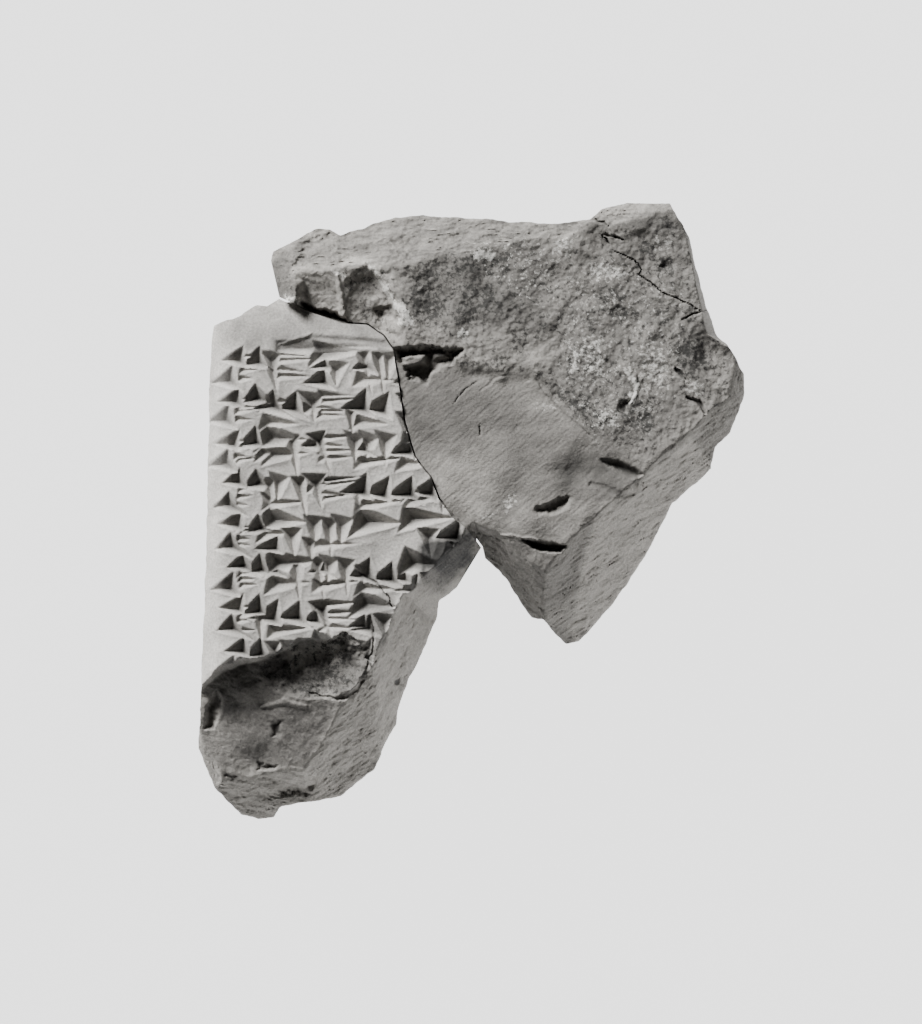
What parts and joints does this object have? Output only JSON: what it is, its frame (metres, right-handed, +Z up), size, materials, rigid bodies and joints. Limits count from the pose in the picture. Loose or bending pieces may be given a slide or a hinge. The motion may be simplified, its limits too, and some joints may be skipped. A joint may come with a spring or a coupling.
{
  "type": "cuneiform tablet",
  "caption": "Broken clay tablet lying on its back: a written fragment joined along one crack to a rough core fragment with bevelled fracture faces.",
  "frame": {"origin": "middle of the bounding box, on the flat underside the tablet lies on", "axes": "+Z up out of the written face, +Y towards the top of the writing, +X along the rows of writing"},
  "size_m": [0.0684, 0.0772, 0.0289],
  "materials": {
    "written_clay": "matte",
    "core_clay": "rough matte"
  },
  "bodies": {
    "root": {"written_fragment": "written_clay", "core_fragment": "core_clay"}
  },
  "joints": []
}
